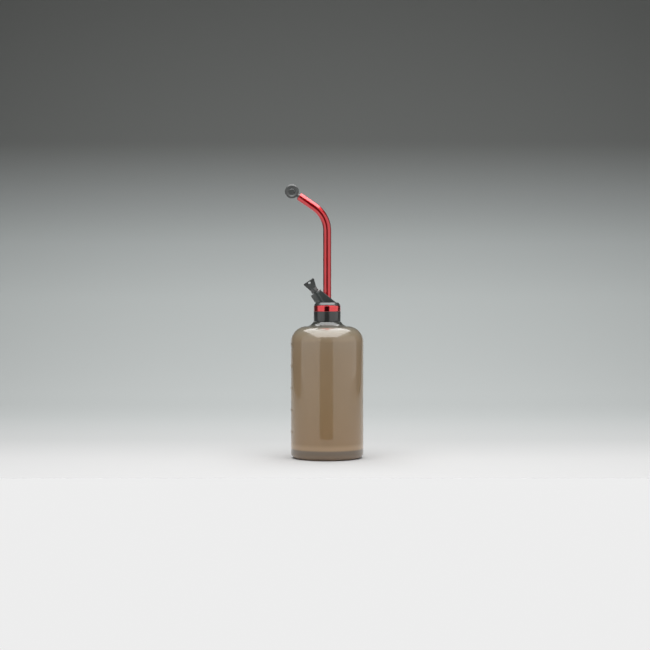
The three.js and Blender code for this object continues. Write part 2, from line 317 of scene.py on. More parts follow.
def softened(obj: Object, width: float, angle: float = 35) -> None:
    """Rounds an object's sharp edges.

    Args:
        obj: the object whose edges are rounded.
        width: how wide the rounding is, in millimetres.
        angle: the least turn between faces that counts as an edge, in degrees.
    """
    bevel = obj.modifiers.new("soft_edges", "BEVEL")
    bevel.width = width * MM
    bevel.segments = BEVEL_SEGMENTS
    bevel.limit_method = "ANGLE"
    bevel.angle_limit = math.radians(angle)
    bevel.use_clamp_overlap = True
    bake_modifiers(obj)
    tidy(obj)


# Node trees


class Graph:
    """A node tree that is built node by node."""

    def __init__(self, tree: bpy.types.NodeTree) -> None:
        """Keeps the tree that the nodes go into."""
        self.tree = tree

    def socket(self, label: str, way: str, kind: str) -> None:
        """Adds an input or an output to the tree itself."""
        self.tree.interface.new_socket(label, in_out=way, socket_type=f"NodeSocket{kind}")

    def first(self, kind: str) -> Node:
        """Gives the first node of a type that is there already."""
        return next(node for node in self.tree.nodes if node.type == kind)

    def feed(self, node: Node, feeds: Feeds) -> None:
        """Links or sets some inputs of a node.

        Args:
            node: the node.
            feeds: a node, a socket or a plain value for each numbered or named input.
        """
        for label, value in feeds.items():
            if isinstance(value, Node):
                value = value.outputs[0]
            if isinstance(value, NodeSocket):
                self.tree.links.new(value, node.inputs[label])
            else:
                node.inputs[label].default_value = value

    def add(self, kind: str, feeds: Feeds | None = None, **settings: object) -> Node:
        """Adds a node.

        Args:
            kind: the node's type.
            feeds: a node, a socket or a plain value for each numbered or named input.
            settings: the node's own properties, set before its inputs.

        Returns:
            The node.
        """
        node = self.tree.nodes.new(kind)
        for key, value in settings.items():
            setattr(node, key, value)
        self.feed(node, feeds or {})
        return node

    def math(self, operation: str, *values: object) -> NodeSocket:
        """Adds a math node fed with sockets or numbers, and gives its output."""
        feeds = dict(enumerate(values))
        return self.add("ShaderNodeMath", feeds, operation=operation).outputs[0]

    def vector(self, *parts: object) -> NodeSocket:
        """Adds a Combine XYZ node fed with sockets or numbers, and gives its output."""
        return self.add("ShaderNodeCombineXYZ", dict(enumerate(parts))).outputs[0]

    def split(self, place: NodeSocket) -> bpy.types.bpy_prop_collection:
        """Adds a Separate XYZ node, and gives its outputs."""
        return self.add("ShaderNodeSeparateXYZ", {0: place}).outputs

    def ramp(self, value: NodeSocket, stops: Stops) -> NodeSocket:
        """Adds a colour ramp.

        Args:
            value: what picks the colour.
            stops: place from 0 to 1 and colour of each stop, in rising order.

        Returns:
            The picked colour.
        """
        node = self.add("ShaderNodeValToRGB", {"Fac": value})
        elements = node.color_ramp.elements
        while len(elements) < len(stops):
            elements.new(1.0)
        for element, (spot, tone) in zip(elements, stops):
            element.position = spot
            element.color = (*tone, 1)
        return node.outputs["Color"]

    def mix(self, factor: object, low: object, high: object, blend: str = "MIX") -> NodeSocket:
        """Adds a colour mix.

        Args:
            factor: how far it goes from the first colour to the second.
            low: the first colour.
            high: the second colour.
            blend: how the second colour is laid over the first.

        Returns:
            The mixed colour.
        """
        feeds = {"Factor": factor, "A": low, "B": high}
        node = self.add("ShaderNodeMix", feeds, data_type="RGBA", blend_type=blend)
        return node.outputs["Result"]


class SolidTree(Graph):
    """A geometry node tree with named sizes, ending in Realize Instances and Set Material."""

    def __init__(self, name: str, sizes: dict[str, float]) -> None:
        """Makes the tree and its inputs.

        Args:
            name: the tree's name.
            sizes: the named inputs and their values; whole numbers become integer inputs.
        """
        super().__init__(bpy.data.node_groups.new(name, "GeometryNodeTree"))
        self.sizes = sizes
        self.socket("Geometry", "INPUT", "Geometry")
        for label, value in sizes.items():
            self.socket(label, "INPUT", "Int" if isinstance(value, int) else "Float")
        self.socket("Material", "INPUT", "Material")
        self.socket("Geometry", "OUTPUT", "Geometry")
        self.inputs = self.add("NodeGroupInput").outputs

    def polar(self, angle: NodeSocket, reach: NodeSocket, height: NodeSocket) -> NodeSocket:
        """Gives the point at an angle, a distance from the Z axis and a height."""
        turns = (self.math(way, angle) for way in ("COSINE", "SINE"))
        return self.vector(*(self.math("MULTIPLY", turn, reach) for turn in turns), height)

    def run(self, name: str, result: Node, material: Material) -> Object:
        """Ends the tree, runs it and keeps its result as a plain mesh.

        Args:
            name: the new object's name.
            result: the node that gives the geometry.
            material: the material that the tree sets.

        Returns:
            The object, with no modifier left on it.
        """
        real = self.add("GeometryNodeRealizeInstances", {0: result})
        feeds = {"Geometry": real, "Material": self.inputs["Material"]}
        self.add("NodeGroupOutput", {0: self.add("GeometryNodeSetMaterial", feeds)})
        obj = linked(name, bpy.data.meshes.new(name))
        modifier = obj.modifiers.new(name, "NODES")
        modifier.node_group = self.tree
        values = {**self.sizes, "Material": material}
        for item in self.tree.interface.items_tree:
            if item.in_out == "INPUT" and item.name in values:
                modifier[item.identifier] = values[item.name]
        bake_modifiers(obj)
        tidy(obj)
        return obj


# Materials


def grey(level: float) -> tuple[float, float, float, float]:
    """Gives an opaque grey."""
    return (level, level, level, 1)


def new_shader(name: str) -> tuple[Material, Graph, Node]:
    """Makes a material.

    Args:
        name: its name.

    Returns:
        The material, its node tree and its Principled shader.
    """
    material = bpy.data.materials.new(name)
    material.use_nodes = True
    graph = Graph(material.node_tree)
    return material, graph, graph.first("BSDF_PRINCIPLED")


def grain_group() -> bpy.types.NodeTree:
    """Builds the fine surface grain and the broad clouding that every finish carries.

    Returns:
        The group. Cloud is a soft 0 to 1 mask, Rough the roughness, Height feeds a Bump node.
    """
    group = Graph(bpy.data.node_groups.new("surface_grain", "ShaderNodeTree"))
    for label in ("Cloud Scale", "Grain Scale", "Roughness", "Roughness Spread"):
        group.socket(label, "INPUT", "Float")
    for label in ("Cloud", "Rough", "Height"):
        group.socket(label, "OUTPUT", "Float")
    entry = group.add("NodeGroupInput").outputs
    place = group.add("ShaderNodeTexCoord").outputs["Object"]
    cloud = group.add("ShaderNodeTexNoise", {
        "Vector": place, "Scale": entry["Cloud Scale"], "Detail": CLOUD_DETAIL,
    }).outputs["Fac"]
    grain = group.add("ShaderNodeTexNoise", {
        "Vector": place, "Scale": entry["Grain Scale"], "Detail": GRAIN_DETAIL,
        "Roughness": GRAIN_ROUGHNESS,
    }).outputs["Fac"]
    rough = group.add("ShaderNodeMath", {
        0: group.math("SUBTRACT", cloud, 0.5),
        1: entry["Roughness Spread"],
        2: entry["Roughness"],
    }, operation="MULTIPLY_ADD", use_clamp=True)
    group.add("NodeGroupOutput", {"Cloud": cloud, "Rough": rough, "Height": grain})
    return group.tree


@dataclass(frozen=True)
class Finish:
    """A surface finish: a Principled shader fed by the shared grain group."""

    name: str
    dark: Tone
    light: Tone
    roughness: float
    roughness_spread: float = 0.08
    metallic: float = 0.0
    cloud_scale: float = 60.0
    grain_scale: float = 1500.0
    bump: float = 0.05
    bump_distance: float = 0.00005
    plain: dict[str, float] = field(default_factory=dict)

    def build(self, grain: bpy.types.NodeTree) -> Material:
        """Makes the material.

        Args:
            grain: the shared grain group.

        Returns:
            The material.
        """
        material, graph, shader = new_shader(self.name)
        skin = graph.add("ShaderNodeGroup", {
            "Cloud Scale": self.cloud_scale,
            "Grain Scale": self.grain_scale,
            "Roughness": self.roughness,
            "Roughness Spread": self.roughness_spread,
        }, node_tree=grain).outputs
        colour = graph.mix(skin["Cloud"], (*self.dark, 1), (*self.light, 1))
        relief = {"Strength": self.bump, "Distance": self.bump_distance, "Height": skin["Height"]}
        graph.feed(shader, {
            **self.plain,
            "Metallic": self.metallic,
            "Base Color": self.tint(graph, colour),
            "Roughness": skin["Rough"],
            "Normal": graph.add("ShaderNodeBump", relief),
        })
        return material

    def tint(self, graph: Graph, colour: NodeSocket) -> NodeSocket:
        """Gives the base colour unchanged; a finish with a pattern of its own changes it here."""
        return colour


@dataclass(frozen=True)
class GradedFinish(Finish):
    """A finish whose tone changes with height."""

    span: float = 0.2
    tones: Stops = ()

    def tint(self, graph: Graph, colour: NodeSocket) -> NodeSocket:
        """Multiplies the colour by the tone of its height.

        Args:
            graph: the material's node tree.
            colour: the clouded base colour.

        Returns:
            The tinted colour.
        """
        height = graph.split(graph.add("ShaderNodeTexCoord").outputs["Object"])["Z"]
        share = graph.add("ShaderNodeMapRange", {"Value": height, "From Max": self.span})
        stops = [(rise / self.span, tone) for rise, tone in self.tones]
        return graph.mix(1.0, colour, graph.ramp(share.outputs[0], stops), "MULTIPLY")


# Smoked plastic, multiplied by height: painted shade greys and darkens the heel, with a painted
# highlight line over it; brown above; greyer and bluer over the shoulder; painted shade darkens the
# neck foot under the cap
SMOKED_TONES_WITH_PAINTED_LIGHT: Stops = (
    # painted shade: grey, then darker, at the heel
    (0.0, (0.66, 0.62, 0.66)),
    (0.0035, (0.65, 0.63, 0.68)),
    (0.0058, (0.44, 0.45, 0.5)),
    (0.0097, (0.42, 0.45, 0.51)),
    # painted highlight: a light line over the heel
    (0.011, (1.0, 0.94, 0.88)),
    (0.0135, (1.0, 0.94, 0.88)),
    (0.017, (0.78, 0.7, 0.58)),
    (0.05, (0.78, 0.74, 0.66)),
    (0.11, (0.8, 0.8, 0.8)),
    (0.126, (0.8, 0.84, 0.9)),
    # painted shade from here: darkening into the neck foot under the cap
    (0.136, (0.58, 0.7, 0.84)),
    (0.1385, (0.5, 0.62, 0.78)),
    (0.142, (0.1, 0.15, 0.21)),
    (0.1465, (0.1, 0.15, 0.21)),
    (0.1485, (0.5, 0.52, 0.54)),
)

# Cap plastic, one moulding: painted shade darkens the skirt, flange and bevel; the boss keeps the
# paler full tone
CAP_PAINTED_SHADE_TONES: Stops = (
    (0.0, (0.55, 0.52, 0.52)),
    (0.1645, (0.55, 0.52, 0.52)),
    (0.1655, (1.0, 1.0, 1.0)),
)


class Finishes:
    """All the materials of the bottle, built once."""

    def __init__(self) -> None:
        """Builds every finish from the shared grain group."""
        grain = grain_group()
        metal = {
            "roughness_spread": 0.05, "metallic": 1.0, "cloud_scale": 90.0, "grain_scale": 4000.0,
            "bump": 0.02,
        }
        self.smoked = GradedFinish(
            "smoked_plastic", (0.48, 0.338, 0.199), (0.54, 0.382, 0.229), roughness=0.4,
            cloud_scale=25.0, grain_scale=600.0, bump=0.1, bump_distance=0.0001,
            plain={
                "Transmission Weight": 0.35,
                "IOR": 1.5,
                "Specular IOR Level": 0.1,
                "Coat Weight": 1.0,
                "Coat Roughness": 0.04,
                "Coat IOR": 1.6,
            },
            tones=SMOKED_TONES_WITH_PAINTED_LIGHT,
        ).build(grain)
        self.cap = GradedFinish(
            "cap_plastic", (0.042, 0.048, 0.047), (0.052, 0.06, 0.059), roughness=0.3,
            grain_scale=2500.0, bump=0.12, tones=CAP_PAINTED_SHADE_TONES,
            plain={"IOR": 1.5, "Coat Weight": 0.9, "Coat Roughness": 0.12},
        ).build(grain)
        self.band = Finish(
            "red_anodised", (0.8, 0.004, 0.012), (0.88, 0.006, 0.016), roughness=0.18, **metal,
            plain={"Coat Weight": 1.0, "Coat Roughness": 0.05, "Coat IOR": 1.9},
        ).build(grain)
        self.tube = Finish(
            "red_anodised_tube", (0.58, 0.004, 0.01), (0.66, 0.006, 0.014), roughness=0.3, **metal,
            plain={"Coat Weight": 0.9, "Coat Roughness": 0.03, "Coat IOR": 1.85},
        ).build(grain)
        self.plug = Finish(
            "plug_rubber", (0.053, 0.057, 0.055), (0.068, 0.073, 0.071), roughness=0.42,
            grain_scale=3000.0, bump=0.2,
            plain={"IOR": 1.5, "Coat Weight": 0.7, "Coat Roughness": 0.16},
        ).build(grain)
        self.liner = Finish(
            "liner_foam", (0.6, 0.58, 0.53), (0.74, 0.72, 0.67), roughness=0.8, bump=0.4,
        ).build(grain)
        self.seal = Finish(
            "seal_rubber", (0.016, 0.016, 0.017), (0.03, 0.03, 0.031), roughness=0.6, bump=0.2,
        ).build(grain)


def dress(obj: Object, material: Material) -> None:
    """Gives an object one material, on every face.

    Args:
        obj: the object.
        material: its material.
    """
    obj.data.materials.clear()
    obj.data.materials.append(material)
    for face in obj.data.polygons:
        face.material_index = 0


def install(obj: Object, material: Material, body: str, node: str) -> None:
    """Dresses a finished piece, ties it to its body, and hides the CAD node that it stands for.

    Args:
        obj: the finished piece.
        material: its material.
        body: the body that it moves with.
        node: the CAD node that it stands for.
    """
    dress(obj, material)
    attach(obj, body)
    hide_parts(node)
    log.info("%s: %d faces on %s", obj.name, len(obj.data.polygons), body)


# Sub-assemblies, with sizes in millimetres


@dataclass
class Assembly:
    """A sub-assembly, with the materials that its pieces are dressed in."""

    finishes: Finishes


@dataclass
class Thread:
    """The screw thread between the neck and the cap."""

    lead: float = 3.175
    depth: float = 1.05
    root: float = 0.3
    base_width: float = 1.6
    crest_width: float = 0.7
    turns: float = 2.0
    rise: float = 5.5
    gap: float = 0.35
    steps: int = 64

    def ridge(
        self, name: str, wall: float, start: float, way: int, material: Material,
    ) -> Object:
        """Makes one helical ridge: a spiral swept with a small trapezoid.

        Args:
            name: the object's name.
            wall: radius of the wall that it stands on.
            start: height of its first point.
            way: 1 where it stands out from the wall, -1 where it stands in towards the axis.
            material: the material that it gets.

        Returns:
            The ridge.
        """
        tree = SolidTree("screw_thread", {
            "Radius": wall * MM,
            "Start": start * MM,
            "Lead": self.lead * MM,
            "Turns": self.turns,
            "Depth": way * self.depth * MM,
            "Root": way * self.root * MM,
            "Half Base": self.base_width / 2 * MM,
            "Half Crest": self.crest_width / 2 * MM,
        })
        size = tree.inputs
        sample = tree.add("GeometryNodeResampleCurve", {
            "Curve": tree.add("GeometryNodeCurvePrimitiveLine"),
            "Count": tree.math("MULTIPLY", size["Turns"], self.steps),
        })
        share = tree.add("GeometryNodeSplineParameter").outputs["Factor"]
        angle = tree.math("MULTIPLY", share, tree.math("MULTIPLY", size["Turns"], 2 * math.pi))
        rise = tree.math("MULTIPLY", tree.math("MULTIPLY", share, size["Turns"]), size["Lead"])
        place = tree.polar(angle, size["Radius"], tree.math("ADD", rise, size["Start"]))
        bend = tree.add("GeometryNodeSetPosition", {"Geometry": sample, "Position": place})
        upright = tree.add("GeometryNodeSetCurveNormal", {0: bend}, mode="Z_UP")
        root, low, low_crest = (
            tree.math("MULTIPLY", size[key], -1.0) for key in ("Root", "Half Base", "Half Crest")
        )
        section = tree.add("GeometryNodeCurvePrimitiveQuadrilateral", {
            "Point 1": tree.vector(root, low, 0.0),
            "Point 2": tree.vector(size["Depth"], low_crest, 0.0),
            "Point 3": tree.vector(size["Depth"], size["Half Crest"], 0.0),
            "Point 4": tree.vector(root, size["Half Base"], 0.0),
        }, mode="POINTS")
        feeds = {"Curve": upright, "Profile Curve": section, "Fill Caps": True}
        return tree.run(name, tree.add("GeometryNodeCurveToMesh", feeds), material)


@dataclass
class Bottle(Assembly):
    """The blown bottle: heel, straight side, shoulder, threaded neck and graduation marks."""

    thread: Thread
    wall: float = 1.2
    base: float = 1.6
    heel: float = 5.5
    shoulder: float = 17.0
    shoulder_start: float = 123.0
    foot_radius: float = 17.2
    foot_rise: float = 0.4
    foot_wall: float = 1.8
    ledge_radius: float = 14.6
    ledge_rise: float = 4.3
    neck_wall: float = 10.95
    neck_bore: float = 9.2
    neck_root_drop: float = 1.0
    soft_edge: float = 0.3
    mark_count: int = 5
    mark_first: float = 28.1
    mark_step: float = 23.2
    mark_tall: float = 2.4
    mark_proud: float = 0.4
    mark_half_angle: float = 16.0
    mark_vertices: int = 25
    sides: int = 160
    heel_steps: int = 12
    inner_heel_steps: int = 10
    shoulder_steps: int = 28
    inner_shoulder_steps: int = 20
    fillet_steps: int = 20

    def __post_init__(self) -> None:
        """Works out the heights and radii that follow from the others."""
        self.radius = extent("bottle")[1].y
        self.neck_top = extent("bottle")[1].z
        self.peak = self.shoulder_start + self.shoulder
        self.foot = self.peak + self.foot_rise
        self.ledge = self.foot + self.ledge_rise
        self.crown_radius = self.radius - self.shoulder
        self.floor_radius = self.radius - self.heel

    def fillet(self) -> list[Point]:
        """Runs smoothly from the shoulder's peak into the neck's foot.

        Returns:
            The run's points, without the first.
        """
        start = Vector((self.crown_radius, self.peak))
        pull = Vector((self.foot_radius, self.foot))
        end = Vector((self.ledge_radius, self.ledge))
        spots = []
        for i in range(1, self.fillet_steps + 1):
            share = i / self.fillet_steps
            spot = start.lerp(pull, share).lerp(pull.lerp(end, share), share)
            spots.append((spot.x, spot.y))
        return spots

    def outline(self) -> list[Point]:
        """Lays out the shell's whole section.

        Returns:
            Its points: the outside upwards, then the inside downwards.
        """
        inner_heel = self.heel - self.wall
        inner_shoulder = self.shoulder - self.wall
        crown = (self.crown_radius, self.shoulder_start)
        inner_floor = (self.floor_radius, self.base + inner_heel)
        soft = self.soft_edge
        return [
            (0.0, 0.0),
            *arc((self.floor_radius, self.heel), self.heel, -90, 0, self.heel_steps),
            *arc(crown, self.shoulder, 0, 90, self.shoulder_steps),
            *self.fillet(),
            *rounded([
                (self.ledge_radius, self.ledge, 0),
                (self.neck_wall, self.ledge, soft),
                (self.neck_wall, self.neck_top, soft),
                (self.neck_bore, self.neck_top, soft),
                (self.neck_bore, self.ledge - self.neck_root_drop, self.neck_root_drop),
                (self.foot_radius - self.foot_wall, self.foot - self.foot_wall, 0),
            ]),
            *arc(crown, inner_shoulder, 90, 0, self.inner_shoulder_steps),
            *arc(inner_floor, inner_heel, 0, -90, self.inner_heel_steps),
            (0.0, self.base),
        ]

    def build(self) -> None:
        """Makes the bottle with its thread and marks, and installs it."""
        shell = turned("bottle_shell", self.outline(), self.sides)
        start = self.ledge + self.thread.rise
        ridge = self.thread.ridge("neck_thread", self.neck_wall, start, 1, self.finishes.smoked)
        worked(shell, ridge, Join.ADD)
        worked(shell, self.marks(), Join.ADD)
        install(shell, self.finishes.smoked, "bottle", "bottle")

    def marks(self) -> Object:
        """Makes the graduation marks: one bar, repeated up the bottle and wrapped on its side.

        Returns:
            The marks.
        """
        depth = self.mark_proud + self.wall / 2
        tree = SolidTree("graduation_marks", {
            "Count": self.mark_count,
            "First": self.mark_first * MM,
            "Step": self.mark_step * MM,
            "Tall": self.mark_tall * MM,
            "Radius": (self.radius + self.mark_proud - depth / 2) * MM,
            "Depth": depth * MM,
            "Half Angle": math.radians(self.mark_half_angle),
        })
        size = tree.inputs
        width = tree.math("MULTIPLY", size["Half Angle"], 2.0)
        bar = tree.add("GeometryNodeMeshCube", {
            "Size": tree.vector(size["Depth"], width, size["Tall"]),
            "Vertices Y": self.mark_vertices,
        })
        column = tree.add("GeometryNodeMeshLine", {
            "Count": size["Count"],
            "Start Location": tree.vector(0.0, 0.0, size["First"]),
            "Offset": tree.vector(0.0, 0.0, size["Step"]),
        })
        copies = tree.add("GeometryNodeInstanceOnPoints", {"Points": column, "Instance": bar})
        flat = tree.split(tree.add("GeometryNodeInputPosition").outputs[0])
        angle = tree.math("ADD", flat["Y"], math.pi)
        reach = tree.math("ADD", flat["X"], size["Radius"])
        wrap = tree.add("GeometryNodeSetPosition", {
            "Geometry": tree.add("GeometryNodeRealizeInstances", {0: copies}),
            "Position": tree.polar(angle, reach, flat["Z"]),
        })
        return tree.run("marks", wrap, self.finishes.smoked)


@dataclass
class Ribs(Assembly):
    """The fine ribs up the outer side of the boss."""

    count: int = 9
    sweep: float = 150.0
    width: float = 0.5
    depth: float = 0.5
    long: float = 7.5
    drop: float = 8.6

    def build(self, radius: float, place: Matrix) -> Object:
        """Makes the ribs, side by side round part of the wall.

        Args:
            radius: radius of the wall that they stand on.
            place: the boss's own frame, in millimetres.

        Returns:
            The ribs.
        """
        tree = SolidTree("boss_ribs", {
            "Count": self.count,
            "Radius": radius * MM,
            "Start Angle": math.pi - math.radians(self.sweep / 2),
            "Sweep": math.radians(self.sweep),
            "Width": self.width * MM,
            "Depth": self.depth * MM,
            "Long": self.long * MM,
            "Low": -self.drop * MM,
        })
        size = tree.inputs
        block = tree.vector(size["Depth"], size["Width"], size["Long"])
        middle = tree.math("ADD", size["Low"], tree.math("MULTIPLY", size["Long"], 0.5))
        rib = tree.add("GeometryNodeTransform", {
            "Geometry": tree.add("GeometryNodeMeshCube", {"Size": block}),
            "Translation": tree.vector(size["Radius"], 0.0, middle),
        })
        gaps = tree.math("SUBTRACT", size["Count"], 1.0)
        share = tree.math("DIVIDE", tree.add("GeometryNodeInputIndex").outputs[0], gaps)
        angle = tree.math("ADD", tree.math("MULTIPLY", share, size["Sweep"]), size["Start Angle"])
        spots = {"Count": size["Count"], "Offset": (0, 0, 0)}
        copies = tree.add("GeometryNodeInstanceOnPoints", {
            "Points": tree.add("GeometryNodeMeshLine", spots),
            "Instance": rib,
            "Rotation": tree.vector(0.0, 0.0, angle),
        })
        ribs = tree.run("ribs", copies, self.finishes.cap)
        moved(ribs, place)
        return ribs


@dataclass
class Cap(Assembly):
    """The screw cap: threaded skirt, band seat, flange, leaning boss with gusset, spout socket."""

    thread: Thread
    bottle: Bottle
    ribs: Ribs
    seat_gap: float = 0.3
    band_gap: float = 0.1
    band_wall: float = 0.6
    flange_rise: float = 0.9
    bevel_rise: float = 2.3
    bevel_width: float = 2.0
    liner: float = 1.2
    lean: float = 33.0
    mouth_radius: float = 6.2
    mouth_reach: float = 12.15
    mouth_rise: float = 10.5
    mouth_lip: float = 0.3
    mouth_lip_steps: int = 4
    post_sunk: float = 1.3
    gusset_reach: float = 9.4
    gusset_half: float = 5.9
    gusset_sunk: float = 0.4
    bore: float = 2.6
    bore_depth: float = 8.5
    passage: float = 3.2
    socket_gap: float = 0.15
    socket_tall: float = 20.0
    soft_edge: float = 0.3
    step_edge: float = 0.15
    groove_edge: float = 0.1
    cut_margin: float = 1.0
    sides: int = 128

    def __post_init__(self) -> None:
        """Works out the heights and radii that follow from the frame and from each other."""
        self.low = extent("cap")[0].z
        self.band_low, self.band_high = (corner.z for corner in extent("cap_band"))
        self.radius = extent("cap_band")[1].y
        self.flange = self.radius - self.band_wall - self.band_gap
        self.flange_top = self.band_high + self.band_gap + self.flange_rise
        self.top = self.flange_top + self.bevel_rise
        self.bevel = self.flange - self.bevel_width
        self.bore_radius = self.bottle.neck_wall + self.thread.depth + self.thread.gap
        self.inside_top = self.bottle.neck_top + self.liner + 2 * self.seat_gap
        self.mouth = Vector((-self.mouth_reach, 0, self.top + self.mouth_rise))
        lean = math.radians(self.lean)
        self.boss_frame = Matrix.Translation(self.mouth) @ Matrix.Rotation(-lean, 4, "Y")
        self.post_foot = self.top - self.post_sunk
        self.post_middle = self.mouth.x + (self.mouth.z - self.post_foot) * math.tan(lean)

    def post(self) -> Object:
        """Makes the leaning round post, with a level foot and a softened mouth.

        Returns:
            The post.
        """
        flat = Matrix.Translation((self.post_middle, 0, self.post_foot))
        stretch = Matrix.Diagonal((1 / math.cos(math.radians(self.lean)), 1, 1, 1))
        foot = ring_of(self.mouth_radius, self.sides, flat @ stretch)
        return lofted("post", [foot, *lip_rings(
            self.mouth_radius, self.mouth_lip, self.mouth_lip_steps, self.sides, self.boss_frame,
        )])

    def gusset(self) -> Object:
        """Makes the flat-sided gusset that slopes down behind the post.

        Returns:
            The gusset.
        """
        sunk = self.gusset_sunk
        brow = self.boss_frame @ Vector((self.mouth_radius - sunk, 0, -sunk))
        outline = (
            (self.post_middle, self.post_foot),
            (self.gusset_reach, self.post_foot),
            (self.gusset_reach, self.top),
            (brow.x, brow.z),
            (self.mouth.x, self.mouth.z - self.mouth_radius),
        )
        half = self.gusset_half
        gusset = lofted("gusset", [[Vector((x, y, z)) for x, z in outline] for y in (-half, half)])
        softened(gusset, self.soft_edge)
        return gusset

    def drill(
        self, body: Object, radius: float, low: float, high: float, place: Matrix | None = None,
    ) -> None:
        """Cuts a plain bore.

        Args:
            body: the solid that is cut.
            radius: the bore's radius.
            low: its lower end.
            high: its upper end.
            place: the frame that it is cut in.
        """
        outline = [(0, low), (radius, low), (radius, high), (0, high)]
        worked(body, turned("rod", outline, self.sides // 2, place), Join.CUT)

    def build(self) -> None:
        """Makes the cap, its boss, ribs, thread and bores, and installs it."""
        soft = self.soft_edge
        body = turned("cap_moulding", rounded([
            (0, self.low, 0),
            (self.radius, self.low, soft),
            (self.radius, self.band_low, self.step_edge),
            (self.flange, self.band_low, self.groove_edge),
            (self.flange, self.flange_top, soft),
            (self.bevel, self.top, soft),
            (0, self.top, 0),
        ]), self.sides)
        worked(body, self.post(), Join.ADD)
        worked(body, self.gusset(), Join.ADD)
        ribs = self.ribs.build(self.mouth_radius, self.boss_frame)
        worked(body, ribs, Join.ADD)
        self.drill(body, self.bore_radius, self.low - self.cut_margin, self.inside_top)
        start = self.bottle.ledge + self.thread.rise + self.thread.lead / 2
        ridge = self.thread.ridge("cap_thread", self.bore_radius, start, -1, self.finishes.cap)
        worked(body, ridge, Join.ADD)
        self.drill(body, self.bore, -self.bore_depth, self.cut_margin, self.boss_frame)
        tube_low, tube_high = extent("spout_tube")
        floor = tube_low.z - self.seat_gap
        self.drill(body, tube_high.y + self.socket_gap, floor, floor + self.socket_tall)
        self.drill(body, self.passage, self.inside_top - self.cut_margin, floor + soft)
        install(body, self.finishes.cap, "cap", "cap")

    def build_band(self) -> None:
        """Makes the red metal band and installs it."""
        inner = self.flange + self.band_gap
        soft = self.soft_edge
        middle = (self.band_low + self.band_high) / 2
        outline = rounded([
            (inner, middle, 0),
            (inner, self.band_low, self.groove_edge),
            (self.radius, self.band_low, soft),
            (self.radius, self.band_high, soft),
            (inner, self.band_high, self.groove_edge),
            (inner, middle, 0),
        ])
        band = turned("metal_band", outline, self.sides)
        install(band, self.finishes.band, "cap", "cap_band")


@dataclass
class Spout(Assembly):
    """The bent metal tube."""

    bore: float = 3.2
    lower: float = 92.6
    bend: float = 31.0
    rise: float = 34.4
    upper: float = 36.0
    lip: float = 0.25
    lip_steps: int = 3
    sides: int = 72
    bend_steps: int = 28

    def __post_init__(self) -> None:
        """Works out the tube's foot, corner and open end from the frame."""
        low, high = extent("spout_tube")
        self.radius = high.y
        self.bottom = low.z
        self.corner = Vector((0, 0, self.bottom + self.lower))
        angle = math.radians(self.rise)
        self.end = self.corner + Vector((-math.cos(angle), 0, math.sin(angle))) * self.upper
        self.turn = math.pi / 2 - angle

    def stations(self) -> list[Matrix]:
        """Follows the tube's middle.

        Returns:
            Frames from the foot to the open end, with Z along the tube.
        """
        low = self.corner.z - self.bend * math.tan(self.turn / 2)
        frames = [Matrix.Translation((0, 0, self.bottom))]
        for step in range(self.bend_steps + 1):
            angle = self.turn * step / self.bend_steps
            spot = Vector((self.bend * (math.cos(angle) - 1), 0, low + self.bend * math.sin(angle)))
            frames.append(Matrix.Translation(spot) @ Matrix.Rotation(-angle, 4, "Y"))
        frames.append(self.end_frame())
        return frames

    def end_frame(self) -> Matrix:
        """Gives the frame of the open end."""
        return Matrix.Translation(self.end) @ Matrix.Rotation(-self.turn, 4, "Y")

    def build(self) -> None:
        """Makes the tube and installs it."""
        frames = self.stations()
        below = Matrix.Translation((0, 0, -self.lip))
        tube = lofted("spout_pipe", [
            ring_of(self.bore, self.sides, frames[0]),
            *(ring_of(self.radius, self.sides, place) for place in frames[:-1]),
            *lip_rings(self.radius, self.lip, self.lip_steps, self.sides, frames[-1]),
            ring_of(self.bore + self.lip, self.sides, frames[-1]),
            ring_of(self.bore, self.sides, frames[-1] @ below),
            *(ring_of(self.bore, self.sides, place) for place in reversed(frames[1:-1])),
        ], closes=True)
        install(tube, self.finishes.tube, "cap", "spout_tube")


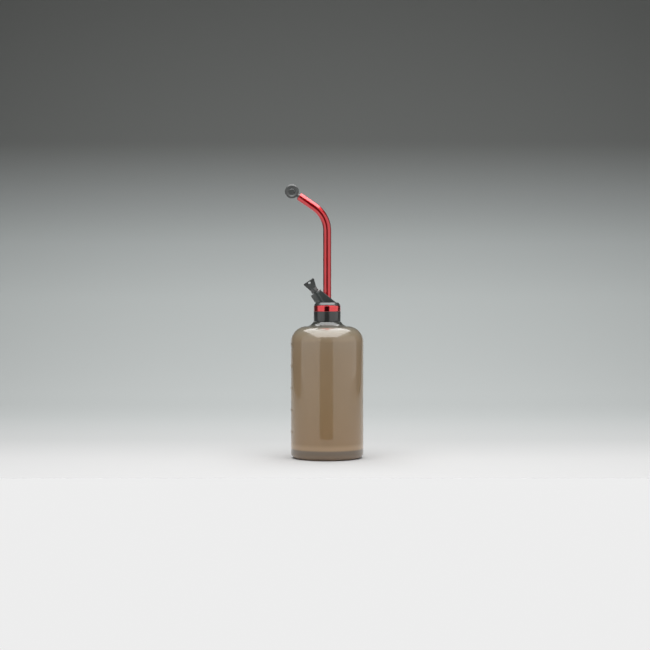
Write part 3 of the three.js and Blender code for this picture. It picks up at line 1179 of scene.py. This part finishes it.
@dataclass
class FillerPlug(Assembly):
    """The stopper in the boss: stem, collar, waist and a dished finger tab with an eye."""

    cap: Cap
    collar: Point = (4.0, 3.0)
    waist: Point = (3.8, 2.0)
    tab_length: float = 9.3
    tab_top: float = 13.5
    tab_root: float = 0.6
    thick: float = 3.0
    rim: float = 1.1
    dish: float = 0.6
    tab_corner: float = 1.1
    eye: Point = (1.5, 1.05)
    eye_inset: float = 2.0
    eye_sides: int = 40
    stem: float = 6.5
    stem_gap: float = 0.15
    seat_gap: float = 0.3
    soft_edge: float = 0.3
    soft_angle: float = 40.0
    stem_edge: float = 0.6
    step_edge: float = 0.15
    collar_edge: float = 0.45

    def __post_init__(self) -> None:
        """Works out where the tab starts and ends above the mouth."""
        self.foot = self.collar[1] + self.waist[1]
        self.top = self.foot + self.tab_length

    def plate(self, name: str, inset: float, span: Point, faces: Point) -> Object:
        """Makes a plate with the tab's widening outline.

        Args:
            name: the object's name.
            inset: how far its edges are drawn in.
            span: its lower and upper end above the mouth.
            faces: the places of its two faces across the tab.

        Returns:
            The plate, standing in the boss's own frame.
        """
        growth = (self.tab_top / 2 - self.waist[0]) / self.tab_length
        low, high = (self.waist[0] + growth * (height - self.foot) - inset for height in span)
        corner = self.tab_corner
        outline = rounded([
            (0, span[0], 0),
            (low, span[0], 0),
            (high, span[1], corner),
            (-high, span[1], corner),
            (-low, span[0], 0),
            (0, span[0], 0),
        ])[:-1]
        return lofted(name, [[Vector((x, y, z)) for x, z in outline] for y in faces])

    def shaft(self) -> Object:
        """Makes the stem, the collar and the waist.

        Returns:
            The three, in one turned solid.
        """
        stem = self.cap.bore - self.stem_gap
        soft = self.soft_edge
        return turned("shaft", rounded([
            (0, -self.stem, 0),
            (stem, -self.stem, self.stem_edge),
            (stem, self.seat_gap, self.step_edge),
            (self.collar[0], self.seat_gap, soft),
            (self.collar[0], self.collar[1], self.collar_edge),
            (self.waist[0], self.collar[1], soft),
            (self.waist[0], self.foot, soft),
            (0, self.foot, 0),
        ]), SHAFT_SIDES)

    def build(self) -> None:
        """Makes the plug and installs it."""
        half = self.thick / 2
        span = (self.foot - self.tab_root, self.top)
        plug = self.plate("filler_stopper", 0, span, (-half, half))
        span = (self.foot + self.rim, self.top - self.rim)
        for faces in ((-self.thick, -half + self.dish), (half - self.dish, self.thick)):
            worked(plug, self.plate("dish", self.rim, span, faces), Join.CUT)
        middle = Matrix.Translation((0, 0, self.top - self.eye_inset))
        shape = middle @ Matrix.Rotation(math.pi / 2, 4, "X") @ Matrix.Diagonal((*self.eye, 1, 1))
        ends = (shape @ Matrix.Translation((0, 0, y)) for y in (-self.thick, self.thick))
        worked(plug, lofted("eye", [ring_of(1, self.eye_sides, end) for end in ends]), Join.CUT)
        softened(plug, self.soft_edge, self.soft_angle)
        worked(plug, self.shaft(), Join.ADD)
        moved(plug, self.cap.boss_frame)
        install(plug, self.finishes.plug, "filler_plug", "filler_plug")


@dataclass
class SpoutPlug(Assembly):
    """The stopper in the spout: stem, short neck, dished round disc and a low pad in each dish."""

    spout: Spout
    disc: float = 7.4
    thick: float = 5.0
    dish: float = 0.7
    rim: float = 1.8
    centre: float = 9.2
    neck: float = 2.3
    stem: float = 8.0
    stem_gap: float = 0.15
    seat_gap: float = 0.3
    pad: Point = (2.4, 0.5)
    pad_slope: float = 0.6
    soft_edge: float = 1.6
    dish_edge: float = 0.96
    rim_edge: float = 0.32
    stem_edge: float = 1.28
    step_edge: float = 0.16
    edge_steps: int = 6
    sides: int = 96

    def build(self) -> None:
        """Makes the plug and installs it."""
        half = self.thick / 2
        lay = Matrix.Translation((0, 0, self.centre)) @ Matrix.Rotation(math.pi / 2, 4, "X")
        face_edge = self.disc - 2 * self.rim
        reach, height = self.pad
        floor = half - self.dish
        back = [
            (0, -floor - height, 0),
            (reach, -floor - height, height),
            (reach + self.pad_slope, -floor, height / 2),
            (face_edge, -floor, self.dish_edge),
            (self.disc - self.rim, -half, self.rim_edge),
            (self.disc, -half, self.soft_edge),
        ]
        front = [(radius, -depth, blend) for radius, depth, blend in reversed(back)]
        outline = rounded([*back, *front], self.edge_steps)
        plug = turned("spout_stopper", outline, self.sides, lay)
        stem = self.spout.bore - self.stem_gap
        root = self.centre - self.disc + self.rim
        shaft = turned("shaft", rounded([
            (0, -self.stem, 0),
            (stem, -self.stem, self.stem_edge),
            (stem, self.seat_gap, self.step_edge),
            (self.neck, self.seat_gap, self.step_edge),
            (self.neck, root, 0),
            (0, root, 0),
        ]), SHAFT_SIDES)
        worked(plug, shaft, Join.ADD)
        moved(plug, self.spout.end_frame())
        install(plug, self.finishes.plug, "spout_plug", "spout_plug")


def point_at(obj: Object, place: Corner, target: Corner) -> None:
    """Places an object, and turns its -Z axis to a target."""
    obj.location = place
    obj.rotation_euler = (Vector(target) - Vector(place)).to_track_quat("-Z", "Y").to_euler()


@dataclass(frozen=True)
class Panel:
    """A rectangular soft light in metres; a strength of 1 makes a white face."""

    name: str
    place: Corner
    target: Corner
    size: Point
    strength: float

    def hang(self) -> None:
        """Adds the panel to the scene, unseen by the camera."""
        data = bpy.data.lights.new(self.name, "AREA")
        data.shape = "RECTANGLE"
        data.size, data.size_y = self.size
        data.energy = self.strength * math.pi * self.size[0] * self.size[1]
        lamp = linked(self.name, data)
        point_at(lamp, self.place, self.target)
        lamp.visible_camera = False


@dataclass
class Studio:
    """Camera, three soft panels, seamless sweep, dark curtain and room, in metres."""

    distance: float = 2.0
    camera_height: float = 0.21
    aim: Corner = (-0.0023, 0.0, 0.1412)
    lens: float = 104.5
    sensor: float = 36.0
    clip_end: float = 50.0
    panels: tuple[Panel, ...] = (
        Panel("left_panel", (-0.98, -0.66, 0.25), (0, 0, 0.15), (1.56, 1.6), 0.8),
        Panel("right_panel", (1.055, -0.573, 0.25), (0, 0, 0.15), (2.32, 1.6), 0.8),
        Panel("top_panel", (0, -0.03, 1.1), (0, -0.03, 0), (1.45, 1.9), 3.3),
    )
    room_light: float = 0.04
    room_seen: float = 0.85
    sweep_front: float = 0.19
    sweep_depth: float = 0.7
    sweep_radius: float = 0.9
    sweep_half_width: float = 4.0
    sweep_height: float = 1.6
    sweep_steps: int = 48
    sweep_roughness: float = 0.9
    curtain_radius: float = 2.6
    curtain_foot: float = -1.2
    curtain_top: float = 2.4
    curtain_tone: float = 0.09
    curtain_wing: float = 0.8
    curtain_wraps: Point = (0.0, 15.5)
    curtain_sides: int = 32
    # painted shade: the sweep's grey darkens from the floor up the backdrop, in place of the lamps'
    # falloff
    tones: Stops = (
        (0.0, (0.55, 0.55, 0.55)),
        (0.06, (0.53, 0.53, 0.53)),
        (0.13, (0.458, 0.465, 0.464)),
        (0.24, (0.448, 0.466, 0.463)),
        (0.34, (0.485, 0.507, 0.503)),
        (0.47, (0.466, 0.492, 0.487)),
        (0.52, (0.397, 0.42, 0.417)),
        (0.56, (0.273, 0.287, 0.284)),
        (0.6, (0.148, 0.153, 0.148)),
        (1.0, (0.125, 0.127, 0.122)),
    )

    def camera(self) -> None:
        """Makes the camera and sets it on the scene."""
        data = bpy.data.cameras.new("camera")
        data.lens = self.lens
        data.sensor_width = self.sensor
        data.clip_end = self.clip_end
        camera = linked("camera", data)
        point_at(camera, (self.aim[0], -self.distance, self.camera_height), self.aim)
        bpy.context.scene.camera = camera

    def sweep(self) -> None:
        """Makes the floor that curves up into a backdrop, with painted shade darkening it towards
        the top.
        """
        back = (self.sweep_depth, self.sweep_radius)
        outline = [
            (-self.sweep_front, 0.0),
            *arc(back, self.sweep_radius, -90, 0, self.sweep_steps),
            (self.sweep_depth + self.sweep_radius, self.sweep_height),
        ]
        count, half = len(outline), self.sweep_half_width
        vertices = [(x, y, z) for x in (-half, half) for y, z in outline]
        faces = [(i, i + count, i + count + 1, i + 1) for i in range(count - 1)]
        sweep = plain_object("sweep", vertices, faces)
        dress(sweep, self.sweep_material())
        sweep.data.shade_smooth()
        lengths = [0.0]
        for near, far in zip(outline, outline[1:]):
            lengths.append(lengths[-1] + math.dist(near, far))
        layer = sweep.data.uv_layers.new(name="along")
        for loop in sweep.data.loops:
            side, step = divmod(loop.vertex_index, count)
            layer.data[loop.index].uv = (side, lengths[step] / lengths[-1])

    def sweep_material(self) -> Material:
        """Makes the sweep's material, whose grey follows the way along it as painted shade.

        Returns:
            The material.
        """
        material, graph, shader = new_shader("sweep")
        along = graph.split(graph.add("ShaderNodeTexCoord").outputs["UV"])["Y"]
        graph.feed(shader, {
            "Base Color": graph.ramp(along, self.tones),
            "Roughness": self.sweep_roughness,
            "Specular IOR Level": 0.0,
        })
        return material

    def curtain(self) -> None:
        """Hangs a dark curtain round the front and the backdrop's sides, which only gloss shows."""
        left, right = self.curtain_wraps
        wing = self.curtain_wing
        back = self.sweep_depth + self.sweep_radius
        outline = [
            (-wing, back),
            (-wing, wing * math.tan(math.radians(left))),
            *arc((0.0, 0.0), self.curtain_radius, 180 - left, 360 + right, self.curtain_sides),
            (wing, wing * math.tan(math.radians(right))),
            (wing, back),
        ]
        vertices = [(x, y, z) for z in (self.curtain_foot, self.curtain_top) for x, y in outline]
        count = len(outline)
        faces = [(i, i + 1, i + count + 1, i + count) for i in range(count - 1)]
        material, graph, shader = new_shader("curtain")
        graph.feed(shader, {"Base Color": grey(self.curtain_tone), "Specular IOR Level": 0.0})
        curtain = plain_object("curtain", vertices, faces)
        dress(curtain, material)
        curtain.visible_camera = False
        curtain.visible_diffuse = False
        curtain.visible_transmission = False
        curtain.visible_shadow = False

    def world(self) -> None:
        """Sets a dim even world that looks pale wherever it is seen."""
        world = bpy.data.worlds.new("room")
        world.use_nodes = True
        graph = Graph(world.node_tree)
        path = graph.add("ShaderNodeLightPath").outputs
        direct = graph.math("MAXIMUM", path["Is Camera Ray"], path["Is Glossy Ray"])
        seen = graph.math("MAXIMUM", direct, path["Is Transmission Ray"])
        colour = graph.mix(seen, grey(self.room_light), grey(self.room_seen))
        graph.feed(graph.first("BACKGROUND"), {"Color": colour})
        bpy.context.scene.world = world

    def build(self) -> None:
        """Makes the whole studio."""
        self.camera()
        for panel in self.panels:
            panel.hang()
        self.sweep()
        self.curtain()
        self.world()
        bpy.context.scene.view_settings.view_transform = "Standard"


def main() -> None:
    """Builds every sub-assembly in order."""
    finishes = Finishes()
    thread = Thread()
    bottle = Bottle(finishes, thread)
    cap = Cap(finishes, thread, bottle, Ribs(finishes))
    spout = Spout(finishes)
    bottle.build()
    cap.build()
    cap.build_band()
    spout.build()
    FillerPlug(finishes, cap).build()
    SpoutPlug(finishes, spout).build()
    dress(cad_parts["cap_liner"], finishes.liner)
    dress(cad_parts["spout_o_ring"], finishes.seal)
    Studio().build()


if __name__ == "__main__":
    main()
